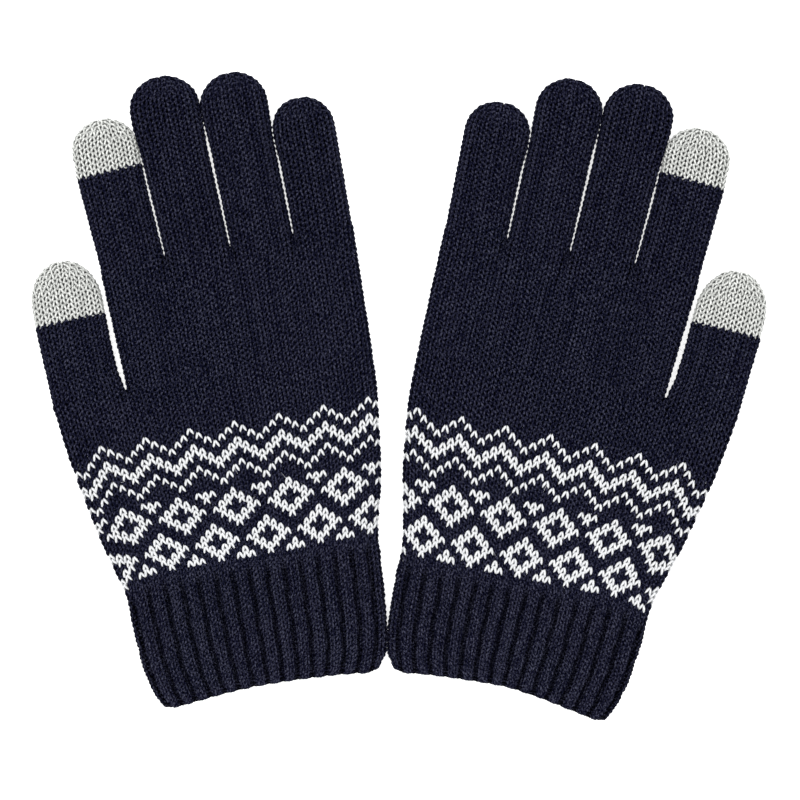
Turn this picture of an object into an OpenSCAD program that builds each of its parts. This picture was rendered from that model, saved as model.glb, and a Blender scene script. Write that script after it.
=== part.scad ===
/* [Knit tube] */
// Height of the glove lying flat, measured before its underside is pressed flat
loft = 9; // [8.8:0.1:11]
// Thickness of the knitted fabric
wall = 2; // [1.6:0.1:2]
// Thickness of the ribbed fabric, with the elastic laid inside it
rib_wall = 1.3; // [1.2:0.1:1.4]
// Clear space between two fingers
finger_gap = 0.6; // [0.5:0.1:0.8]
// Clear space between the round end of a bending finger and the fabric before it
fold_gap = 0.4; // [0.3:0.1:0.6]

/* [Hand] */
// Level of the bound-off edge, below the wrist line
hem_level = -66; // [-72:1:-64]
// Depth of the bound-off edge
hem_depth = 3; // [2:0.5:4]
// Level where the rib meets the patterned band
band_start = -22; // [-24:1:-20]
// Level where the patterned band ends
band_end = 27; // [25:1:29]
// Level of the thumb's crotch
thumb_level = 43; // [41:1:45]
// Level of the four fingers' crotches
finger_level = 84; // [82:1:86]

/* [Fingers] */
// Top of the index finger
index_top = 134.4; // [130:0.2:138]
// Top of the middle finger
middle_top = 144.6; // [140:0.2:148]
// Top of the ring finger
ring_top = 141.8; // [138:0.2:146]
// Top of the little finger
little_top = 129.6; // [126:0.2:134]
// Top of the thumb
thumb_top = 89.8; // [86:0.2:92]
// Level where the index finger's touch yarn starts
index_touch = 116.4; // [114:0.2:118]
// Level where the thumb's touch yarn starts
thumb_touch = 69.6; // [68:0.2:71]

/* [Pattern] */
// Zigzag waves round the band
zigzag_waves = 15; // [15]
// Diamonds round the band
diamonds = 10; // [10]
// How much nearer the wrist the right glove's band starts
right_band_slip = 6.8; // [0:0.2:7]
// Width of one line of contrast yarn
yarn_line = 2.4; // [1.8:0.1:2.6]
// Number of elastic threads in the cuff
elastic_threads = 3; // [2:1:4]

/* [Placing] */
// Turn of the left glove
left_turn = 10.3; // [8:0.1:12]
// Turn of the right glove
right_turn = -11.5; // [-12:0.1:-8]
// Left glove's place across the pair
left_x = -55.6; // [-60:0.1:-54]
// Left glove's place along the pair
left_y = -35.2; // [-38:0.1:-32]
// Right glove's place across the pair
right_x = 54.4; // [53:0.1:60]
// Right glove's place along the pair
right_y = -37.4; // [-40:0.1:-34]

/* [Hidden] */

LEFT = 0;
RIGHT = 1;
NAVY = [0.09, 0.10, 0.17];
DARK_NAVY = [0.07, 0.08, 0.14];
WHITE = [0.93, 0.93, 0.93];
TOUCH_GREY = [0.78, 0.79, 0.77];
RUBBER = [0.25, 0.25, 0.28];

sides = 20;             // facets round a tube
yarn_steps = 60;        // facets round a line of contrast yarn, a multiple of sides
fullness = 3;           // 2 gives an ellipse, more gives a fuller, flatter oval
side_rush = 17;         // spreads a ring's points from the short sides to the wide faces
half = loft / 2;
underside = 0.93 * half;  // the oval's middle stands this high over its flat underside
snug = 0.1;             // slack between a yarn line or thread and the fabric that carries it
yarn_proud = 0.5;       // thickness of a yarn line and of an elastic thread
hem_bow = 3.3;          // how far the middle of the edge is drawn up
fade_level = -40;       // the edge's bow has faded out here
edge_round = [1, 0.96, 0.88];  // widths of the last rings of the bound-off edge

// Each glove's sideways lean towards the cuff, and the drop of its thumb-side corner
lean = [0, 0.043];
corner_drop = [0, 3.4];

// How far each glove's band has slipped towards the wrist, and the share of it at each level
band_slip = [0, right_band_slip];
slip_share = [
    [hem_level + hem_depth, 0], [band_start, 1], [band_end, 0.435], [thumb_level, 0]
];

// Thumb-side and little-finger-side outlines of the hand: level, distance from its middle line
thumb_side = [
    [hem_level, -35.5], [-60, -38.2], [-50, -40.5], [-38, -41.5], [band_start, -42.3], [0, -47.9],
    [band_end, -52.6], [thumb_level, -54.6]
];
little_side = [
    [hem_level, 38], [-60, 41], [-50, 43.2], [-38, 44.2], [band_start, 45.4], [0, 50.7],
    [band_end, 54.4], [thumb_level, 55.1], [finger_level, 56.2]
];
palm_side = [[thumb_level, -28.8], [finger_level, -30.6]];

// Finger outlines: edges at the root and at the widest level, that level, and the rounding's depth
index_plan = [-30.6, -8.1, -33.6, -11, 116, 11];
middle_plan = [-8.1, 14.1, -10.8, 12.3, 130, 11];
ring_plan = [14.1, 35.6, 12.8, 34.9, 130, 11];
little_plan = [35.6, 56.3, 35.3, 56.7, 116, 11];
thumb_plan = [-54.6, -29.1, -56.2, -30.6, 68, 15];

function mix(a, b, t) = a + (b - a) * t;
function clamp01(t) = max(0, min(1, t));

// Point on the oval of width 2 and height 2, after the share t of a turn round it
function oval(t) =
    let (
        f = 360 * t + side_rush * sin(720 * t),
        d = pow(pow(abs(cos(f)), fullness) + pow(abs(sin(f)), fullness), 1 / fullness)
    )
    [cos(f) / d, sin(f) / d];

function sway(g, v) = lean[g] * max(0, finger_level - v);

// Where the fabric of level v lies
function slipped(g, v) = v - band_slip[g] * lookup(v, slip_share);

// How far a point at (u, v) is drawn along the hand by the bow and the dropped corner of the edge
function edge_pull(g, u, v) =
    let (t = clamp01((fade_level - v) / (fade_level - hem_level)))
    t * (hem_bow * (1 - pow(u / 38, 2)) + corner_drop[g] * min(0, u / 38));

// One closed ring: edges l and r, half height h, depth low under the middle, level v
function ring(g, l, r, h, low, v, n = sides) = [
    for (i = [0 : n - 1])
        let (o = oval(i / n), u = mix(l, r, 0.5 + 0.5 * o[0]))
        [u + sway(g, v), v + edge_pull(g, u, v), underside + max(-low, h * o[1])]
];

function outer_ring(g, l, r, v, h = half) = ring(g, l, r, h, min(h, underside), v);
function inner_ring(g, l, r, v, w, h = half) =
    ring(g, l + w, r - w, h - w, min(h, underside) - w, v);

// Two triangles between each pair of neighbours on the rings that start at points a0 and b0
function strip_faces(a0, b0, n, turned) = [
    for (i = [0 : n - 1], k = [0, 1])
        let (j = (i + 1) % n, a = a0 + i, b = a0 + j, c = b0 + i, d = b0 + j)
        k == 0 ? (turned ? [a, b, d] : [a, d, b]) : (turned ? [a, d, c] : [a, c, d])
];

function cap_face(first, n, turned) =
    [turned ? [for (i = [0 : n - 1]) first + i] : [for (i = [n - 1 : -1 : 0]) first + i]];

// Hollow tube from its outer and inner rings, open at both ends or closed at the far one
module tube(outer, inner, closed = false) {
    n = len(outer[0]);
    in0 = len(outer) * n;
    out_end = (len(outer) - 1) * n;
    in_end = in0 + (len(inner) - 1) * n;
    polyhedron(
        points = [for (r = outer, p = r) p, for (r = inner, p = r) p],
        faces = concat(
            [for (j = [0 : len(outer) - 2]) each strip_faces(j * n, (j + 1) * n, n, true)],
            [for (j = [0 : len(inner) - 2]) each strip_faces(in0 + j * n, in0 + (j + 1) * n, n, false)],
            strip_faces(0, in0, n, false),
            closed ? concat(cap_face(out_end, n, true), cap_face(in_end, n, false))
                   : strip_faces(out_end, in_end, n, true)
        )
    );
}

// The levels from one to another, through the outline's own levels in between
function stretch_levels(g, from, to) =
    let (low = slipped(g, from), high = slipped(g, to))
    [low, for (p = little_side) if (p[0] > low + 1 && p[0] < high - 1) p[0], high];

// Stretch of the hand between two levels
module hand_stretch(g, from, to, thumb_edge, w) {
    levels = stretch_levels(g, from, to);
    tube(
        [for (v = levels) outer_ring(g, lookup(v, thumb_edge), lookup(v, little_side), v)],
        [for (v = levels) inner_ring(g, lookup(v, thumb_edge), lookup(v, little_side), v, w)]
    );
}

// Finger edges at level v: straight to the widest level, then drawn in to a round top
function finger_edge(plan, side, root, v) =
    mix(plan[side], plan[2 + side], clamp01((v - root) / (plan[4] - root)));
function rounding(plan, top, v) =
    sqrt(max(0, 1 - pow(max(0, v - (top - plan[5])) / plan[5], 2)));
function finger_height(plan, top, v) =
    half * sqrt(max(0, 1 - pow(max(0, v - (top - plan[5])) / plan[5], 4)));

function finger_pair(plan, root, top, v, gap) =
    let (
        l = finger_edge(plan, 0, root, v) + gap / 2,
        r = finger_edge(plan, 1, root, v) - gap / 2,
        m = (l + r) / 2,
        q = rounding(plan, top, v)
    )
    [mix(m, l, q), mix(m, r, q)];

// A stall or tip that bends at its start: the start is round about the fold line, so that it
// turns without touching the fabric before it
module bending_tube(g, plan, root, top, start, finish) {
    fold = start + fold_gap + half;
    mouth = half - wall;
    nose = sqrt(half * half - mouth * mouth) - 0.05;
    closed = finish >= top;
    last = closed ? top - 0.15 : finish;
    in_last = closed ? top - wall : finish;
    round_start = top - plan[5];
    bends = [for (t = [1, 0.8, 0.5, 0.2]) fold - nose * t];
    dome = closed ? [for (t = [0, 0.45, 0.75, 0.92]) round_start + t * plan[5]] : [];
    body = fold < round_start - 2 ? [fold] : [];
    outer_levels = concat(bends, body, closed ? dome : [], [last]);
    inner_levels = concat(
        [fold - nose], body,
        closed ? [for (t = [0, 0.5, 0.8]) mix(round_start, in_last, t)] : [], [in_last]
    );
    function nose_height(v) = v < fold ? sqrt(half * half - pow(fold - v, 2)) : half;
    function shrink(v) = finger_pair(plan, root, top, v, finger_gap);
    tube(
        [
            for (v = outer_levels)
                let (e = shrink(v), h = min(nose_height(v), finger_height(plan, top, v)))
                outer_ring(g, e[0], e[1], v, h)
        ],
        [
            for (v = inner_levels)
                let (
                    t = closed ? clamp01((v - round_start) / (in_last - round_start)) : 0,
                    e = shrink(min(v, round_start)),
                    m = (e[0] + e[1]) / 2,
                    q = sqrt(1 - 0.9 * t * t)
                )
                inner_ring(g, mix(m, e[0], q), mix(m, e[1], q), v, wall, mix(half, wall + 0.6, t * t))
        ],
        closed
    );
}

// Closed line of yarn laid on the fabric, waving between two levels
module yarn_ring(g, level, swing, waves, phase, steps, width, near, far) {
    function wave(i) = 2 * abs(2 * (i * waves / steps + phase - floor(i * waves / steps + phase)) - 1) - 1;
    function skin(i, v, off) =
        let (
            o = oval(i / steps),
            l = lookup(v, thumb_side) - off,
            r = lookup(v, little_side) + off,
            u = mix(l, r, 0.5 + 0.5 * o[0])
        )
        [u + sway(g, v), v + edge_pull(g, u, v),
            underside + max(-(underside + off), (half + off) * o[1])];
    pts = [
        for (i = [0 : steps - 1])
            let (v = level + swing * wave(i))
            each [skin(i, v - width / 2, near), skin(i, v - width / 2, far),
                skin(i, v + width / 2, far), skin(i, v + width / 2, near)]
    ];
    polyhedron(
        points = pts,
        faces = [
            for (i = [0 : steps - 1], k = [0 : 3])
                let (a = 4 * i + k, b = 4 * i + (k + 1) % 4, j = 4 * ((i + 1) % steps))
                each [[a, j + k, b], [j + k, j + (k + 1) % 4, b]]
        ]
    );
}

module cuff_hem(g) {
    rise = hem_depth / 2;
    levels = [hem_level, hem_level + rise, hem_level + hem_depth];
    color(DARK_NAVY)
        tube(
            [
                for (i = [0 : 2])
                    let (v = levels[i], q = edge_round[2 - i])
                    outer_ring(g, lookup(v, thumb_side) * q, lookup(v, little_side) * q, v,
                        half * (i == 0 ? 0.9 : 1))
            ],
            [
                for (i = [0 : 2])
                    let (v = levels[i], q = edge_round[2 - i])
                    inner_ring(g, lookup(v, thumb_side) * q, lookup(v, little_side) * q, v, rib_wall,
                        half * (i == 0 ? 0.9 : 1))
            ]
        );
}

module cuff_rib(g) {
    color(DARK_NAVY) hand_stretch(g, hem_level + hem_depth, band_start, thumb_side, rib_wall);
}

module cuff_elastic(g) {
    pitch = (band_start - hem_level - hem_depth) / (elastic_threads + 1);
    color(RUBBER)
        for (i = [1 : elastic_threads])
            yarn_ring(g, slipped(g, hem_level + hem_depth + i * pitch), 0, 1, 0, sides, yarn_proud,
                -rib_wall - snug - yarn_proud, -rib_wall - snug);
}

// The band's fabric lies lower by the thickness of the contrast yarn on its face
module pattern_band(g) {
    sunk = yarn_proud + snug;
    levels = stretch_levels(g, band_start, band_end);
    color(NAVY)
        tube(
            [
                for (v = levels)
                    ring(g, lookup(v, thumb_side) + sunk, lookup(v, little_side) - sunk, half - sunk,
                        underside - sunk, v)
            ],
            [for (v = levels) inner_ring(g, lookup(v, thumb_side), lookup(v, little_side), v, wall)]
        );
}

module contrast_yarn(g) {
    zigzags = [19.5, 11.5, 4.5];
    diamond_rows = [-3.5, -14];
    color(WHITE) {
        for (v = zigzags)
            yarn_ring(g, slipped(g, v), 2.8, zigzag_waves, 0, yarn_steps, yarn_line, -yarn_proud, 0);
        for (k = [0, 1])
            union() {
                for (phase = [0, 0.5])
                    yarn_ring(g, slipped(g, diamond_rows[k]), 3.6, diamonds, phase + k / 2,
                        yarn_steps, yarn_line * 0.8, -yarn_proud, 0);
            }
    }
}

module five_finger_body(g) {
    color(NAVY) hand_stretch(g, band_end, thumb_level, thumb_side, wall);
}

module four_finger_body(g) {
    color(NAVY) hand_stretch(g, thumb_level, finger_level, palm_side, wall);
}

module thumb_stall(g) {
    color(NAVY) bending_tube(g, thumb_plan, thumb_level, thumb_top, thumb_level, thumb_touch);
}

module thumb_touch_tip(g) {
    color(TOUCH_GREY)
        bending_tube(g, thumb_plan, thumb_level, thumb_top, thumb_touch, thumb_top);
}

module index_stall(g) {
    color(NAVY) bending_tube(g, index_plan, finger_level, index_top, finger_level, index_touch);
}

module index_touch_tip(g) {
    color(TOUCH_GREY)
        bending_tube(g, index_plan, finger_level, index_top, index_touch, index_top);
}

module middle_stall(g) {
    color(NAVY) bending_tube(g, middle_plan, finger_level, middle_top, finger_level, middle_top);
}

module ring_stall(g) {
    color(NAVY) bending_tube(g, ring_plan, finger_level, ring_top, finger_level, ring_top);
}

module little_stall(g) {
    color(NAVY) bending_tube(g, little_plan, finger_level, little_top, finger_level, little_top);
}

module left_glove() {
    translate([left_x, left_y, 0]) rotate(left_turn) children();
}

module right_glove() {
    translate([right_x, right_y, 0]) rotate(right_turn) mirror([1, 0, 0]) children();
}

left_glove() cuff_hem(LEFT);  // left_cuff_hem
left_glove() cuff_rib(LEFT);  // left_cuff_rib
left_glove() cuff_elastic(LEFT);  // left_cuff_elastic
left_glove() pattern_band(LEFT);  // left_pattern_band
left_glove() contrast_yarn(LEFT);  // left_contrast_yarn
left_glove() five_finger_body(LEFT);  // left_five_finger_body
left_glove() four_finger_body(LEFT);  // left_four_finger_body
left_glove() thumb_stall(LEFT);  // left_thumb_stall
left_glove() thumb_touch_tip(LEFT);  // left_thumb_touch_tip
left_glove() index_stall(LEFT);  // left_index_stall
left_glove() index_touch_tip(LEFT);  // left_index_touch_tip
left_glove() middle_stall(LEFT);  // left_middle_stall
left_glove() ring_stall(LEFT);  // left_ring_stall
left_glove() little_stall(LEFT);  // left_little_stall
right_glove() cuff_hem(RIGHT);  // right_cuff_hem
right_glove() cuff_rib(RIGHT);  // right_cuff_rib
right_glove() cuff_elastic(RIGHT);  // right_cuff_elastic
right_glove() pattern_band(RIGHT);  // right_pattern_band
right_glove() contrast_yarn(RIGHT);  // right_contrast_yarn
right_glove() five_finger_body(RIGHT);  // right_five_finger_body
right_glove() four_finger_body(RIGHT);  // right_four_finger_body
right_glove() thumb_stall(RIGHT);  // right_thumb_stall
right_glove() thumb_touch_tip(RIGHT);  // right_thumb_touch_tip
right_glove() index_stall(RIGHT);  // right_index_stall
right_glove() index_touch_tip(RIGHT);  // right_index_touch_tip
right_glove() middle_stall(RIGHT);  // right_middle_stall
right_glove() ring_stall(RIGHT);  // right_ring_stall
right_glove() little_stall(RIGHT);  // right_little_stall
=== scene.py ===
"""A pair of knitted gloves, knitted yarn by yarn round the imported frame.

Every tube of the gloves (cuff, hand, palm, thumb and four fingers) is a cloth: rings of points
that yarn is laid on. A course of knitting is one closed strand that waves through its wales in
loops, so that the stitches, the ribs and the pattern are all real yarn.
"""
import logging
import math
from dataclasses import dataclass, field
from enum import Enum

import bpy
import numpy as np
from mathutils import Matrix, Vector


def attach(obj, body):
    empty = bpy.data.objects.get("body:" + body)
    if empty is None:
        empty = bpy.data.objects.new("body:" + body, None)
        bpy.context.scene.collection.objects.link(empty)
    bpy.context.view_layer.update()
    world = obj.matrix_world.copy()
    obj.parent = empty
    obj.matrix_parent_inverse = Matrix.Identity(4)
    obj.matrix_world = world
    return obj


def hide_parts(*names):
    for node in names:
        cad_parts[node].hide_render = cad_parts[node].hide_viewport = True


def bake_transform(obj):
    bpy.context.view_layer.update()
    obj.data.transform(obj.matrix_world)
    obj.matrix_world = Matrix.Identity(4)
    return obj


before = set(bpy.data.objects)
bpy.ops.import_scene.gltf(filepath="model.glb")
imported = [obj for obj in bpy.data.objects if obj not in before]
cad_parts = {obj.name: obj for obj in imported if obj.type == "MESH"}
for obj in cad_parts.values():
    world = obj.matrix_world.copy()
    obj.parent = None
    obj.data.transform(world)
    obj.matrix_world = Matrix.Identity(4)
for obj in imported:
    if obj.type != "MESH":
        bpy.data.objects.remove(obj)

LOG = logging.getLogger("gloves")
MM = 0.001
TURN = 2 * math.pi

# the flat tube of fabric, in millimetres like every size here that isn't called metres
HALF = 4.5              # half the thickness of a tube lying flat
UNDERSIDE = 0.93 * HALF  # height of a tube's middle over the surface it lies on
FULLNESS = 3            # 2 gives an ellipse, more gives a fuller, flatter oval
INSET = 0.92            # the middle of the fabric lies this far inside its outer face
SPARE = 3.0             # a cloth goes on this far past the ends of its piece
RING_STEP = 0.75        # distance between the rings of a cloth
TIP_RINGS = 26          # rings of a round tip, closer together towards its end
TIP_HOLE = 0.012        # share of the tip's length that is left open at its end
SHADED_BACKING_DEPTH = 0.8      # the dark inner backing, painted as shade, lies this far inside the fabric's middle

# levels along the hand, from the cuff's edge to the fingers
HEM, BAND_START, BAND_END = -66.0, -22.0, 27.0
THUMB_ROOT, FINGER_ROOT = 43.0, 84.0
FADE_LEVEL = -40.0      # the bow of the cuff's edge has faded out here
THUMB_PARTING, FINGER_PARTING = 12.0, 13.0  # the hand parts over this length below a root
TILT_IN, TILT_OUT = 10, 8  # a finger's courses take up their tilt, and lose it, over this much
ROOT_BEND = 14.0        # length above a finger's root to a point on its middle line; the point is worked out and not kept
TIP_BEND = 10.5         # length above a touch tip's start to a point on its middle line; the point is worked out and not kept

# the knitting
ROW = 1.81              # distance from course to course
FIRST_ROW = 25.0        # level of the pattern's first course
BAND_ROWS = math.ceil((FIRST_ROW - BAND_START) / ROW)  # courses of the band
HAND_WALES = 84         # stitches round the hand
CUFF_WALES = 90         # stitches round the cuff
HEM_ROLL = (35.0, 100.0, 165.0)  # how far each course of the cuff's edge has rolled in
HEM_RADIUS = 0.7        # radius of the rolled edge
HEM_MIDDLE = HEM + 1.5  # level of the roll's middle
ELASTIC_THREADS = 3

# the yarn
STRAND_GIRTH = 3.2      # distance round a strand on its own map
BAKE_MARGIN = 0.04      # share of a strand's strip on the second map that is left free
# painted shade: how much darker the flanks of a strand are painted than its top, for each yarn
NAVY_FLANK_SHADE, WHITE_FLANK_SHADE, TOUCH_FLANK_SHADE = 0.88, 0.48, 0.68


class Side(Enum):
    """The hand that a glove is for."""

    LEFT = "left"
    RIGHT = "right"


def smooth(t: np.ndarray | float) -> np.ndarray | float:
    """Ease from 0 to 1 while t goes from 0 to 1."""
    t = np.clip(t, 0.0, 1.0)
    return t * t * (3 - 2 * t)


def oval_height(share: np.ndarray) -> np.ndarray:
    """Height of the flat oval, 0 to 1, at a share of its half width."""
    return np.clip(1 - np.abs(share) ** FULLNESS, 0, 1) ** (1 / FULLNESS)


@dataclass(frozen=True)
class Wave:
    """A gentle ripple over the fabric, in radians for each millimetre."""

    across: float
    along: float
    start: float = 0.0
    size: float = 1.0

    def at(self, u: np.ndarray, level: float) -> np.ndarray:
        """The ripple's height at a distance from the middle line and a level."""
        return self.size * np.sin(self.across * u + self.along * level + self.start)


@dataclass(frozen=True)
class Outline:
    """An edge of the hand: its distance from the middle line, level by level."""

    levels: tuple[float, ...]
    reach: tuple[float, ...]
    easing: float = 5.0     # a corner is eased over this much to each side

    def at(self, level: np.ndarray | float) -> np.ndarray:
        """Distance at a level, eased over the outline's corners.

        Args:
            level: One level or an array of them.

        Returns:
            The distance at each level.
        """
        ease = np.linspace(-self.easing, self.easing, 11)
        weight = np.cos(ease / (1.1 * self.easing) * math.pi / 2)
        spread = np.asarray(level, float)[..., None] + ease
        low, high = self.levels[0], self.levels[-1]
        start = (self.reach[1] - self.reach[0]) / (self.levels[1] - low)
        end = (self.reach[-1] - self.reach[-2]) / (high - self.levels[-2])
        flat = np.interp(spread, self.levels, self.reach)
        flat += start * np.minimum(spread - low, 0) + end * np.maximum(spread - high, 0)
        return (flat * weight).sum(-1) / weight.sum()


THUMB_EDGE = Outline(
    (HEM, -60, -50, -38, BAND_START, 0, BAND_END, THUMB_ROOT),
    (-35.2, -37.7, -39.7, -40.5, -41.1, -47.0, -52.2, -54.6),
)
LITTLE_EDGE = Outline(
    (HEM, -60, -50, -38, BAND_START, 0, BAND_END, THUMB_ROOT, FINGER_ROOT),
    (38, 41, 43.2, 44.2, 45.4, 50.7, 54.4, 55.1, 56.2),
)
PALM_EDGE = Outline((THUMB_ROOT, FINGER_ROOT), (-28.8, -30.6))


@dataclass(frozen=True)
class Placing:
    """Where one glove lies, and how its cuff is pulled out of line."""

    side: Side
    x: float
    y: float
    turn: float
    lean: float
    corner_drop: float
    slip: float = 0.0       # the lower edge of the band lies this much nearer the wrist
    wider: float = 0.0      # the little finger's side lies this much further out
    hem_bow: float = 3.3    # bow of the cuff's edge
    half_cuff: float = 38.0
    corner_rise: float = 2.2  # the corners of the cuff's edge are rounded off by this much
    corner_top: float = -57.0  # level where the rounding starts
    corners: tuple[tuple[float, float], ...] = ((30.5, 6.0), (33.0, 5.5))  # start and width
    slip_shares: tuple[float, ...] = (0.0, 1.0, 0.435, 0.0)  # at edge, band and thumb
    wider_from: float = -10.0  # level where the little finger's side starts to lie wider

    @property
    def mirrored(self) -> bool:
        """True for the glove that is the other one's mirror image."""
        return self.side is Side.RIGHT

    def world(self, points: np.ndarray) -> np.ndarray:
        """Carry points from the glove's own frame, in millimetres, into the row's, in metres.

        Args:
            points: Array of shape (..., 3).

        Returns:
            The points in the row frame.
        """
        u = -points[..., 0] if self.mirrored else points[..., 0]
        c, s = math.cos(math.radians(self.turn)), math.sin(math.radians(self.turn))
        return np.stack(
            [self.x + c * u - s * points[..., 1], self.y + s * u + c * points[..., 1],
             points[..., 2]], -1) * MM

    def spot(self, u: float, v: float, z: float = UNDERSIDE) -> tuple[float, float, float]:
        """One point of the glove's own frame, in the row frame."""
        return tuple(float(n) for n in self.world(np.array([u, v, z], float)))

    def sway(self, level: np.ndarray | float) -> np.ndarray | float:
        """Sideways lean of the hand towards the cuff."""
        return self.lean * np.maximum(0, FINGER_ROOT - level)

    def edge_pull(self, u: np.ndarray, level: float) -> np.ndarray:
        """How far the cuff's bowed edge and its dropped corner draw points along the hand.

        Args:
            u: Distance of each point from the middle line.
            level: Their level.

        Returns:
            The distance along the hand.
        """
        share = np.clip((FADE_LEVEL - level) / (FADE_LEVEL - HEM), 0, 1.2)
        out = u / self.half_cuff
        (thumb_start, thumb_width), (little_start, little_width) = self.corners
        corner = np.clip(np.where(u > 0, (u - little_start) / little_width,
                                  (-u - thumb_start) / thumb_width), 0, 1) ** 2
        rounding = smooth((self.corner_top - level) / (self.corner_top - HEM))
        bow = self.hem_bow * (1 - out ** 2) + self.corner_drop * np.minimum(0, out)
        return share * bow + self.corner_rise * rounding * corner

    def slipped(self, level: np.ndarray | float) -> np.ndarray | float:
        """Where the fabric of a level lies after the band has slipped towards the wrist."""
        share = np.interp(level, (HEM, BAND_START, BAND_END, THUMB_ROOT), self.slip_shares)
        return level - self.slip * share

    def little_edge(self, level: float) -> float:
        """The hand's edge on the little finger's side."""
        return float(LITTLE_EDGE.at(level)) + self.extra_reach(level)

    def extra_reach(self, level: float) -> float:
        """How much further out the little finger's side of this glove lies."""
        return self.wider * float(smooth((level - self.wider_from) / 30))


@dataclass
class Cloth:
    """A tube of fabric to lay yarn on: rings of points, evenly spaced from the face's middle."""

    levels: np.ndarray
    points: np.ndarray
    girths: np.ndarray
    tilt: float = 0.0
    tilt_levels: tuple[float, float] = (0.0, 1.0)
    normals: np.ndarray = field(init=False)
    along: np.ndarray = field(init=False)

    def __post_init__(self) -> None:
        """Work out the outward and lengthwise directions of every point."""
        round_it = np.roll(self.points, -1, 1) - np.roll(self.points, 1, 1)
        self.along = np.gradient(self.points, self.levels, axis=0)
        self.along /= np.linalg.norm(self.along, axis=-1, keepdims=True) + 1e-9
        out = np.cross(self.along, round_it)
        self.normals = -out / (np.linalg.norm(out, axis=-1, keepdims=True) + 1e-9)

    def look(self, grid: np.ndarray, level: np.ndarray, share: np.ndarray) -> np.ndarray:
        """Read one of the cloth's grids between its points.

        Args:
            grid: Array of shape (levels, around, 3).
            level: Level of each place asked for.
            share: Share of a turn from the middle of the face.

        Returns:
            The value at each place.
        """
        row = np.interp(level, self.levels, np.arange(len(self.levels)))
        low = np.minimum(row.astype(int), len(self.levels) - 2)
        row = (row - low)[:, None]
        count = grid.shape[1]
        column = (share % 1.0) * count
        left = np.floor(column).astype(int)
        column = (column - left)[:, None]
        left %= count
        right = (left + 1) % count
        near = grid[low, left] * (1 - column) + grid[low, right] * column
        far = grid[low + 1, left] * (1 - column) + grid[low + 1, right] * column
        return near * (1 - row) + far * row

    def at(self, level: np.ndarray, share: np.ndarray) -> tuple[np.ndarray, ...]:
        """Place, outward direction and lengthwise direction of points on the cloth.

        Args:
            level: Level of each point before the courses' tilt.
            share: Share of a turn from the middle of the face.

        Returns:
            Arrays of points, normals and lengthwise directions.
        """
        if self.tilt:
            start, end = self.tilt_levels
            across = self.look(self.points, level, share)[:, 0]
            middle = np.interp(level, self.levels, self.points[:, :, 0].mean(1))
            ease = smooth((level - start) / TILT_IN) * (1 - smooth((level - end) / TILT_OUT))
            level = level + self.tilt * (across - middle) * ease
        point = self.look(self.points, level, share)
        out = self.look(self.normals, level, share)
        out /= np.linalg.norm(out, axis=-1, keepdims=True) + 1e-9
        return point, out, self.look(self.along, level, share)

    def girth(self, level: float) -> float:
        """Distance round the cloth at a level."""
        return float(np.interp(level, self.levels, self.girths))

    def share_at(self, level: float, u: float) -> float:
        """Share of a turn at which the upper face passes a distance u from the middle line."""
        shares = np.linspace(-0.24, 0.24, 241)
        across = self.look(self.points, np.full(len(shares), level), shares)[:, 0]
        return float(np.interp(u, across, shares))


@dataclass(frozen=True)
class Handling:
    """How fabric that was laid down by hand lies a little unevenly."""

    droop: float = 4.4      # the courses hang towards the wrist by this at the thumb's side
    droop_from: float = 0.72  # share of the half width where they start to
    droop_start: float = -62.0  # level where the droop sets in
    droop_rise: float = 30.0  # length over which it grows to its full size
    droop_end: float = 44.0  # level where it has gone
    droop_fall: float = 26.0  # length over which it goes
    shift: tuple[Wave, Wave] = (Wave(0.13, 0.05, 1.0, 0.22), Wave(-0.04, 0.05))
    billow: tuple[Wave, Wave] = (Wave(0.16, 0.0, 0.6, 0.30), Wave(0.0, 0.075, 1.1))
    ripples: tuple[Wave, Wave] = (Wave(0.31, -0.12, 0.0, 0.16), Wave(0.1, 0.21, 0.0, 0.12))

    def along(self, u: np.ndarray, level: float, share: np.ndarray, hand: bool) -> np.ndarray:
        """How far points of a ring lie off their level.

        Args:
            u: Distance of each point from the middle line.
            level: Level of the ring.
            share: Share of the half width, from the ring's own middle.
            hand: True for a ring as wide as the hand, which droops.

        Returns:
            The distance along the hand.
        """
        slide = self.shift[0].at(u, level) * self.shift[1].at(u, level)
        if not hand:
            return slide
        fade = smooth((level - self.droop_start) / self.droop_rise)
        fade *= smooth((self.droop_end - level) / self.droop_fall)
        side = np.clip((-share - self.droop_from) / (1 - self.droop_from), 0, 1) ** 2
        return slide - self.droop * fade * side

    def height(self, u: np.ndarray, level: float) -> np.ndarray:
        """How much the upper face lies over or under its even height."""
        swell = self.billow[0].at(u, level) * self.billow[1].at(u, level)
        return swell + self.ripples[0].at(u, level) + self.ripples[1].at(u, level)


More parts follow.
